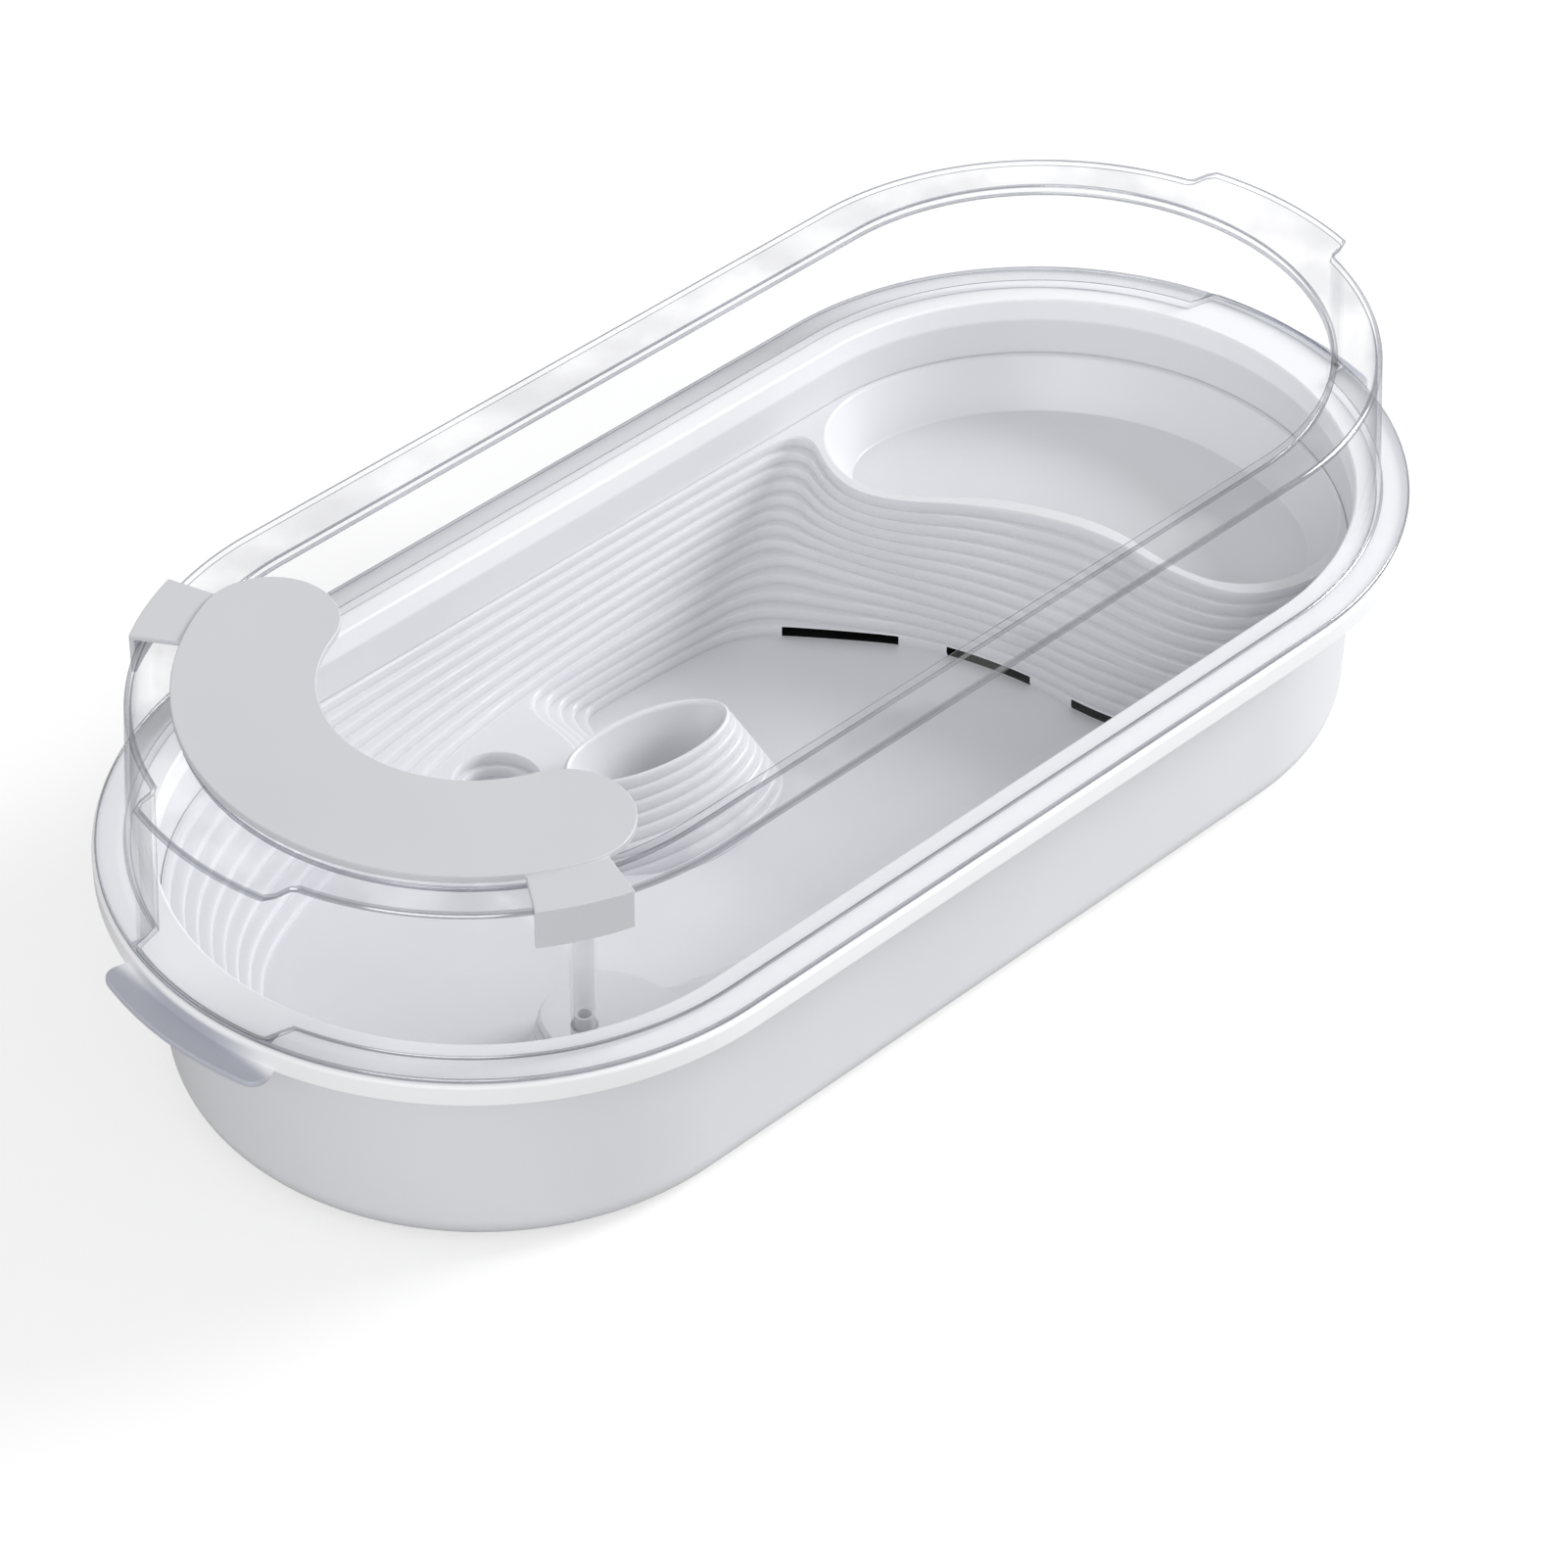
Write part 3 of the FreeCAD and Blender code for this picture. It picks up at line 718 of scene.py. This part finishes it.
class TANK_OT_tub(bpy.types.Operator):
    """Tub with a rounded foot, a rim with its lip turned down, and a tab at each end"""

    bl_idname = "tank.tub"
    bl_label = "Tub"

    def execute(self, context):
        sizes = context.scene.tub_sizes
        top = sizes.height
        rim = sizes.rim_half_width
        thin = sizes.rim_wall
        start = 70.0
        inner = tub_half_width(sizes, top) - sizes.wall
        under = tub_half_width(sizes, top - thin)
        bm = bmesh.new()
        run_round(bm, [
            (start, 0, 0), (tub_half_width(sizes, 0), 0, sizes.foot_radius),
            (under, top - thin, 1.6), (rim - thin, top - thin, 1.0),
            (rim - thin, top - sizes.lip_height, 0.7), (rim, top - sizes.lip_height, 0.9),
            (rim, top, 1.8), (inner, top, 1.2),
            (tub_half_width(sizes, sizes.wall) - sizes.wall, sizes.wall, 9.0),
            (start, sizes.wall, 0),
        ], sizes.half_straight, sizes.ring_steps, False)
        close_oval(bm)
        for side in (1, -1):
            self.add_tab(bm, sizes, side)
        tub = form_object("tub_body", bm)
        shade(tub)
        put_in_place(
            tub, "tub", tub_plastic("tub_plastic", context.scene.tank_colours, sizes))
        return {"FINISHED"}

    def add_tab(self, bm, sizes, side):
        """Thin tab that follows the lip, its corners and edges rounded."""
        thickness = sizes.tab_wall
        inner = sizes.rim_half_width - sizes.tab_root
        outer = sizes.rim_half_width + sizes.tab_reach
        low = sizes.height - sizes.lip_height - thickness / 2
        half_angle = math.asin(sizes.tab_half_width / outer)
        tab = bmesh.new()
        verts = [
            tab.verts.new(Vector((width, 0, height)) * MM)
            for width, height in (
                (inner, low), (outer, low), (outer, low + thickness), (inner, low + thickness))
        ]
        face = tab.faces.new(verts)
        bmesh.ops.rotate(
            tab, verts=verts, cent=Vector(), matrix=Matrix.Rotation(-half_angle, 3, "Z"))
        bmesh.ops.spin(
            tab, geom=[face], cent=Vector(), axis=UP, angle=2 * half_angle, steps=10)
        bmesh.ops.recalc_face_normals(tab, faces=tab.faces)
        sharp = [edge for edge in tab.edges if edge.calc_face_angle(0) > 1]
        upright = [edge for edge in sharp if abs(edge.verts[0].co.z - edge.verts[1].co.z) > MM]
        outside = [edge for edge in upright if edge.verts[0].co.xy.length > (outer - 1) * MM]
        bmesh.ops.bevel(
            tab, geom=outside, offset=sizes.tab_corner * MM, segments=8, profile=0.5,
            affect="EDGES", material=-1)
        sharp = [edge for edge in tab.edges if edge.calc_face_angle(0) > 1]
        bmesh.ops.bevel(
            tab, geom=sharp, offset=sizes.tab_edge * MM, segments=3, profile=0.5,
            affect="EDGES", material=-1)
        if side < 0:
            bmesh.ops.rotate(
                tab, verts=tab.verts, cent=Vector(), matrix=Matrix.Rotation(math.pi, 3, "Z"))
        bmesh.ops.translate(
            tab, verts=tab.verts, vec=Vector((side * sizes.half_straight, 0, 0)) * MM)
        mesh = bpy.data.meshes.new("tab")
        tab.to_mesh(mesh)
        tab.free()
        bm.from_mesh(mesh)
        bpy.data.meshes.remove(mesh)


class TANK_OT_terrain(bpy.types.Operator):
    """Terraced insert: pool, banks, tray, standpipe shelf, crater mound, pit, slope and slots"""

    bl_idname = "tank.terrain"
    bl_label = "Terrain"

    def execute(self, context):
        tub = context.scene.tub_sizes
        sizes = context.scene.terrain_sizes
        top = sizes.floor + (POOL_STEPS + BANK_STEPS) * sizes.step
        gap = tub.wall + sizes.fit
        foot = 8.0
        inside = 0.05
        ground = oval_block("terrain_ground", tub, gap, tub.wall, top, foot)
        trim = oval_block("trim", tub, gap + inside, tub.wall + inside, top - inside, foot)
        white = white_plastic(context.scene)
        ground.data.materials.append(white)
        # Near-black painted shade for the faces of the slots' pockets.
        slot_shade = painted_slot_shade_material("slot_depth")
        combine(ground, stacked_form(
            "pool", terrace_rows(POOL_FLOOR, POOL_EDGE, sizes, 0, POOL_STEPS, clear=2.0)),
            "DIFFERENCE")
        combine(ground, stacked_form(
            "bank",
            terrace_rows(BANK_FOOT, BANK_TOP, sizes, POOL_STEPS, BANK_STEPS, clear=4.0)),
            "DIFFERENCE")
        for raised in (self.shelf(sizes), self.mound(sizes), self.slope(sizes)):
            raised.data.materials.append(white)
            self.trim_to(raised, trim)
            combine(ground, raised, "UNION")
        bpy.data.objects.remove(trim)
        for hollow in (self.tray(sizes, top), self.crater(sizes), self.pit(sizes)):
            hollow.data.materials.append(white)
            combine(ground, hollow, "DIFFERENCE")
        for slot in SLOTS:
            cutter = self.slot(sizes, *slot)
            cutter.data.materials.append(slot_shade)
            combine(ground, cutter, "DIFFERENCE")
        shade(ground, angle=38.0)
        put_in_place(ground, "terrain")
        return {"FINISHED"}

    def trim_to(self, piece, trim):
        """Keeps the part of a piece inside the insert's outline."""
        copy = trim.copy()
        copy.data = trim.data.copy()
        bpy.context.scene.collection.objects.link(copy)
        combine(piece, copy, "INTERSECT")

    def shelf(self, sizes):
        """Stepped shelf on the near bank, its rounded steps narrow on every side."""
        rows = [(grow(SHELF_TOP, sizes.shelf_tread * (RAISED_STEPS - 1)), sizes.floor - 1.0)]
        for step in range(RAISED_STEPS):
            out = sizes.shelf_tread * (RAISED_STEPS - 1 - step)
            high = sizes.floor + (step + 1) * sizes.step + SHELF_LIFT
            rows += [
                (grow(SHELF_TOP, out - sizes.groove), high - sizes.step + 0.1),
                (grow(SHELF_TOP, out), high - sizes.step + 1.8),
                (grow(SHELF_TOP, out - 0.05), high - 1.1),
                (grow(SHELF_TOP, out - 0.3), high - 0.3),
                (grow(SHELF_TOP, out - 0.8), high),
            ]
        return stacked_form("shelf", rows)

    def mound(self, sizes):
        """Stepped oval mound."""
        rows = []
        for step in range(RAISED_STEPS):
            down = RAISED_STEPS - 1 - step
            along, across = (
                axis + tread * down for axis, tread in zip(MOUND_AXES, MOUND_TREADS))
            high = sizes.floor + (step + 1) * sizes.step + MOUND_LIFT
            rows += [
                ((along - sizes.groove, across - sizes.groove), high - sizes.step),
                ((along, across), high - sizes.step + 1.8),
                ((along, across), high - 1.4),
                ((along - 0.4, across - 0.2), high - 0.5),
                ((along - 1.3, across - 0.6), high),
            ]
        return oval_form("mound", MOUND_CENTRE, MOUND_TURN, rows)

    def crater(self, sizes):
        """Smooth oval hollow in the mound."""
        rim = sizes.floor + RAISED_STEPS * sizes.step
        shares = [
            (0.44, 21.0), (0.52, 21.3), (0.58, 22.6), (0.93, rim - 5.0), (0.965, rim - 1.6),
            (0.985, rim - 0.5), (1.02, rim + 0.02), (1.02, rim + 3.0),
        ]
        rows = [
            (tuple(axis * share for axis in CRATER_AXES), height) for share, height in shares]
        return oval_form("crater", MOUND_CENTRE, MOUND_TURN, rows)

    def pit(self, sizes):
        """Round pit with steps."""
        rows = []
        for step in range(PIT_STEPS):
            radius = sizes.pit_radius - sizes.pit_tread * (PIT_STEPS - 1 - step)
            high = sizes.floor + (PIT_FOOT_STEPS + step + 1) * sizes.step
            rows += [
                ((radius + sizes.groove,) * 2, high - sizes.step),
                ((radius,) * 2, high - sizes.step + 1.6),
                ((radius,) * 2, high - 1.2),
                ((radius + 0.9,) * 2, high),
            ]
        rows.append((rows[-1][0], rows[-1][1] + 3.0))
        return oval_form("pit", PIT_CENTRE, 0.0, rows)

    def tray(self, sizes, top):
        """Tray with a sloping wall that rounds over at its mouth."""
        floor = top - sizes.tray_depth
        run = sizes.tray_run
        rows = [
            (-run - 0.8, floor), (-run - 0.3, floor + 0.15), (-run + 0.2, floor + 0.6),
            (-0.9, top - 2.2), (-0.4, top - 0.9), (0.1, top - 0.25), (0.8, top),
            (0.8, top + 4.0),
        ]
        return stacked_form("tray", [(grow(TRAY_MOUTH, out), height) for out, height in rows])

    def slope(self, sizes):
        """Smooth slope from the plateau to the pool floor."""
        bm = bmesh.new()
        base = sizes.floor
        top = base + POOL_STEPS * sizes.step
        start, leave, level, end = SLOPE_ALONG
        near, far = SLOPE_ACROSS
        points = [
            (start, base - 1), (end, base - 1), (end, base + SLOPE_LIFT),
            (level, base + SLOPE_LIFT), (leave, top + SLOPE_LIFT),
            ((start + leave) / 2, top + 0.4 * SLOPE_LIFT), (start, top - 4 * SLOPE_LIFT),
        ]
        verts = [bm.verts.new(Vector((x, near, z)) * MM) for x, z in points]
        face = bm.faces.new(verts)
        pushed = bmesh.ops.extrude_face_region(bm, geom=[face])["geom"]
        moved = [part for part in pushed if isinstance(part, bmesh.types.BMVert)]
        bmesh.ops.translate(bm, verts=moved, vec=Vector((0, far - near, 0)) * MM)
        foot = [
            edge for edge in bm.edges
            if all(abs(vert.co.x - level * MM) < 1e-6 for vert in edge.verts)
        ]
        bmesh.ops.bevel(
            bm, geom=foot, offset=sizes.slope_rounding * MM, segments=8, profile=0.5,
            affect="EDGES", material=-1)
        bmesh.ops.recalc_face_normals(bm, faces=bm.faces)
        return form_object("slope", bm)

    def slot(self, sizes, start, end):
        """Cutter for one slot at the foot of the tray bank."""
        first, last = Vector((*start, 0)), Vector((*end, 0))
        along = last - first
        centre = (first + last) / 2
        centre.z = sizes.floor + SLOT_LIFT + sizes.slot_height / 2
        place = Matrix.Translation(centre * MM)
        place @= Matrix.Rotation(math.atan2(along.y, along.x), 4, "Z")
        size = Vector((along.length, sizes.slot_depth, sizes.slot_height)) * MM
        place @= Matrix.Diagonal((*size, 1))
        bm = bmesh.new()
        bmesh.ops.create_cube(bm, size=1, matrix=place)
        return form_object("slot", bm)


class TANK_OT_pipes(bpy.types.Operator):
    """Standpipe and its clear riser, kept in their packed form"""

    bl_idname = "tank.pipes"
    bl_label = "Standpipe and riser"

    def execute(self, context):
        colours = context.scene.tank_colours
        finishes = {
            "standpipe": plastic("pipe_plastic", colours.white, roughness=0.3),
            "riser_tube": milky_plastic("milky_tube", colours.white, 0.22),
        }
        for node, material in finishes.items():
            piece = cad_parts[node]
            piece.data.materials.clear()
            piece.data.materials.append(material)
        return {"FINISHED"}


class TANK_OT_guard(bpy.types.Operator):
    """Clear guard: foot flange, tapering wall with an end bulge each side, top flange and lip"""

    bl_idname = "tank.guard"
    bl_label = "Clear guard"

    def execute(self, context):
        sizes = context.scene.guard_sizes
        tub = context.scene.tub_sizes
        base = tub.height + sizes.seat_gap
        top = tub.height + sizes.height
        wall = sizes.wall
        opening = sizes.opening_half_width
        lean = (sizes.foot_half_width - sizes.top_half_width) / sizes.height
        bm = bmesh.new()
        run_round(bm, [
            (sizes.foot_half_width - wall, base, 0.4),
            (sizes.flange_half_width, base, 0.5),
            (sizes.flange_half_width, base + wall, 0.8),
            (sizes.foot_half_width - lean * wall, base + wall, 1.0),
            (sizes.top_half_width, top, 1.9),
            (opening, top, 0.8), (opening, top - sizes.lip_drop, 0.7),
            (opening + wall, top - sizes.lip_drop, 0.7),
            (opening + wall, top - wall, 0.6),
            (sizes.top_half_width - wall + lean * wall, top - wall, 0.9),
        ], tub.half_straight, sizes.ring_steps, True)
        self.push_bulges(bm, sizes, tub)
        bmesh.ops.recalc_face_normals(bm, faces=bm.faces)
        for face in bm.faces:
            if min(edge.calc_length() for edge in face.edges) < sizes.edge_band * MM:
                face.material_index = 1
            elif self.on_top_flange(face, sizes, top):
                face.material_index = 2
        guard = form_object("guard_shell", bm)
        shade(guard)
        put_in_place(guard, "clear_guard")
        colours = context.scene.tank_colours
        for finish in (
            clear_plastic("clear_guard_plastic", colours.clear, colours.clear_edge_on),
            clear_edge("clear_guard_edge", colours.clear_edge, 0.16),
            clear_edge("clear_guard_flange", colours.clear_flange, 0.03),
        ):
            guard.data.materials.append(finish)
        return {"FINISHED"}

    def on_top_flange(self, face, sizes, top):
        """Whether a face lies flat at the height of the top flange."""
        low = top - sizes.lip_drop
        return abs(face.normal.z) > 0.9 and face.calc_center_median().z > low * MM

    def push_bulges(self, bm, sizes, tub):
        """Moves the wall outwards in the middle of both ends, in a smooth curve at each side."""
        inner = (sizes.opening_half_width + sizes.wall + 2.0) * MM
        outer = (sizes.foot_half_width + 1.5) * MM
        half_straight = tub.half_straight * MM
        bend = sizes.bulge_bend * MM
        for vert in bm.verts:
            if abs(vert.co.x) < half_straight:
                continue
            centre = Vector((math.copysign(half_straight, vert.co.x), 0, vert.co.z))
            spoke = vert.co - centre
            if not inner < spoke.length < outer:
                continue
            share = (sizes.bulge_half_width * MM + bend / 2 - abs(vert.co.y)) / bend
            share = min(max(share, 0.0), 1.0)
            share = share * share * (3 - 2 * share)
            vert.co += spoke.normalized() * sizes.bulge_depth * MM * share


class TANK_OT_cover(bpy.types.Operator):
    """Shade cover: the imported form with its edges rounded"""

    bl_idname = "tank.cover"
    bl_label = "Shade cover"

    def execute(self, context):
        bm = bmesh.new()
        bm.from_mesh(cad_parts["shade_cover"].data)
        bmesh.ops.remove_doubles(bm, verts=bm.verts, dist=1e-6)
        bmesh.ops.dissolve_limit(
            bm, angle_limit=math.radians(1.0), verts=bm.verts, edges=bm.edges)
        sharp = [edge for edge in bm.edges if edge.calc_face_angle(0) > math.radians(40)]
        bmesh.ops.bevel(
            bm, geom=sharp, offset=context.scene.guard_sizes.cover_edge * MM, segments=3,
            profile=0.5, affect="EDGES", material=-1, clamp_overlap=True)
        cover = form_object("cover_plate", bm)
        shade(cover)
        put_in_place(cover, "shade_cover", plastic(
            "cover_plastic", context.scene.tank_colours.cover, roughness=0.42))
        return {"FINISHED"}


class TANK_OT_stage(bpy.types.Operator):
    """Plain pale floor, soft studio light and the camera"""

    bl_idname = "tank.stage"
    bl_label = "Stage"

    def execute(self, context):
        scene = context.scene
        bm = bmesh.new()
        bmesh.ops.create_grid(bm, x_segments=1, y_segments=1, size=20)
        floor = form_object("studio_floor", bm)
        floor.data.materials.append(studio_floor("studio_floor", scene.tank_colours.floor))
        self.light_world(scene)
        self.add_lamp(scene, "key", place=(2.75, -1.15, 1.55), size=1.3, power=95.0)
        self.add_lamp(scene, "fill", place=(-2.4, -1.5, 1.4), size=2.0, power=35.0)
        self.add_camera(scene)
        scene.view_settings.view_transform = "Standard"
        return {"FINISHED"}

    def light_world(self, scene):
        """White surroundings to look at and in reflections, a softer light on the tank."""
        world = bpy.data.worlds.new("studio")
        scene.world = world
        world.use_nodes = True
        tree = world.node_tree
        background = tree.nodes["Background"]
        background.inputs["Color"].default_value = (1, 1, 1, 1)
        rays = tree.nodes.new("ShaderNodeLightPath")
        seen = calculate(
            tree, "MAXIMUM", rays.outputs["Is Camera Ray"], rays.outputs["Is Transmission Ray"])
        seen = calculate(tree, "MAXIMUM", seen, rays.outputs["Is Glossy Ray"])
        light_on_tank = 0.57
        strength = remap(tree, seen, 0.0, 1.0, light_on_tank, 1.0)
        tree.links.new(strength, background.inputs["Strength"])

    def add_lamp(self, scene, name, place, size, power):
        """Square soft light aimed at the middle of the tank."""
        data = bpy.data.lights.new(name, "AREA")
        data.size = size
        data.energy = power
        lamp = bpy.data.objects.new(name, data)
        lamp.location = place
        lamp.rotation_euler = Vector(place).to_track_quat("Z", "Y").to_euler()
        scene.collection.objects.link(lamp)

    def add_camera(self, scene):
        """Camera at the photograph's viewing angle."""
        data = bpy.data.cameras.new("camera")
        data.sensor_width = 36.0
        data.lens = 134.42
        data.clip_end = 100.0
        camera = bpy.data.objects.new("camera", data)
        scene.collection.objects.link(camera)
        azimuth = math.radians(-45.18)
        elevation = math.radians(39.64)
        roll = math.radians(0.31)
        back = Vector((
            math.sin(azimuth) * math.cos(elevation), -math.cos(azimuth) * math.cos(elevation),
            math.sin(elevation)))
        turn = back.to_track_quat("Z", "Y").to_matrix()
        turn @= Matrix.Rotation(roll, 3, "Z")
        camera.rotation_euler = turn.to_euler()
        camera.location = (-1.1812, -1.1779, 1.4101)
        scene.camera = camera


class TANK_PT_panel(bpy.types.Panel):
    """Sizes, colours and pieces of the tank"""

    bl_idname = "TANK_PT_panel"
    bl_label = "Turtle tank"
    bl_space_type = "VIEW_3D"
    bl_region_type = "UI"
    bl_category = "Turtle tank"

    def draw(self, context):
        layout = self.layout
        for name in SETTINGS:
            settings = getattr(context.scene, name)
            box = layout.box()
            for key in settings.__annotations__:
                box.prop(settings, key)
        for operator in OPERATORS:
            layout.operator(operator.bl_idname)


SETTINGS = {
    "tub_sizes": TubSizes,
    "terrain_sizes": TerrainSizes,
    "guard_sizes": GuardSizes,
    "tank_colours": TankColours,
}
OPERATORS = (
    TANK_OT_tub,
    TANK_OT_terrain,
    TANK_OT_pipes,
    TANK_OT_guard,
    TANK_OT_cover,
    TANK_OT_stage,
)


def register():
    """Registers the classes and the settings."""
    for group in (*SETTINGS.values(), *OPERATORS, TANK_PT_panel):
        bpy.utils.register_class(group)
    for name, group in SETTINGS.items():
        setattr(bpy.types.Scene, name, PointerProperty(type=group))


def unregister():
    """Removes the settings and the classes."""
    for name in SETTINGS:
        delattr(bpy.types.Scene, name)
    for group in reversed((*SETTINGS.values(), *OPERATORS, TANK_PT_panel)):
        bpy.utils.unregister_class(group)


def main():
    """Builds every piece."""
    register()
    bpy.ops.tank.tub()
    bpy.ops.tank.terrain()
    bpy.ops.tank.pipes()
    bpy.ops.tank.guard()
    bpy.ops.tank.cover()
    bpy.ops.tank.stage()


if __name__ == "__main__":
    main()
